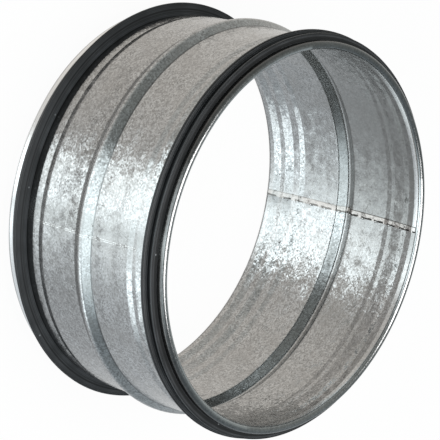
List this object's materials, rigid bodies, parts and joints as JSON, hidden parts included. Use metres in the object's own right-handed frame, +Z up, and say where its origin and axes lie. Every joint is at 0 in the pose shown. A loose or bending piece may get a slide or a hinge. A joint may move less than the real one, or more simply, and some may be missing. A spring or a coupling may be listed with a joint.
{
  "type": "duct connector",
  "caption": "Round galvanised steel nipple that couples spiral ducts end to end, with a stop bead round the middle and a double-lip rubber seal held in each folded rim.",
  "frame": {"origin": "centre of the circle that the lower rim stands on", "axes": "+Z up the duct axis; +X and +Y square to it, with a lap seam inside at 102.7 degrees from +X towards +Y and the other opposite it"},
  "size_m": [0.1662, 0.1662, 0.085],
  "materials": {
    "galvanised_steel": "hot-dip galvanised sheet with a fine spangle",
    "seal_rubber": "extruded black EPDM rubber, dull"
  },
  "bodies": {
    "root": {"sleeve": "galvanised_steel", "bottom_seal": "seal_rubber", "top_seal": "seal_rubber"}
  },
  "joints": []
}
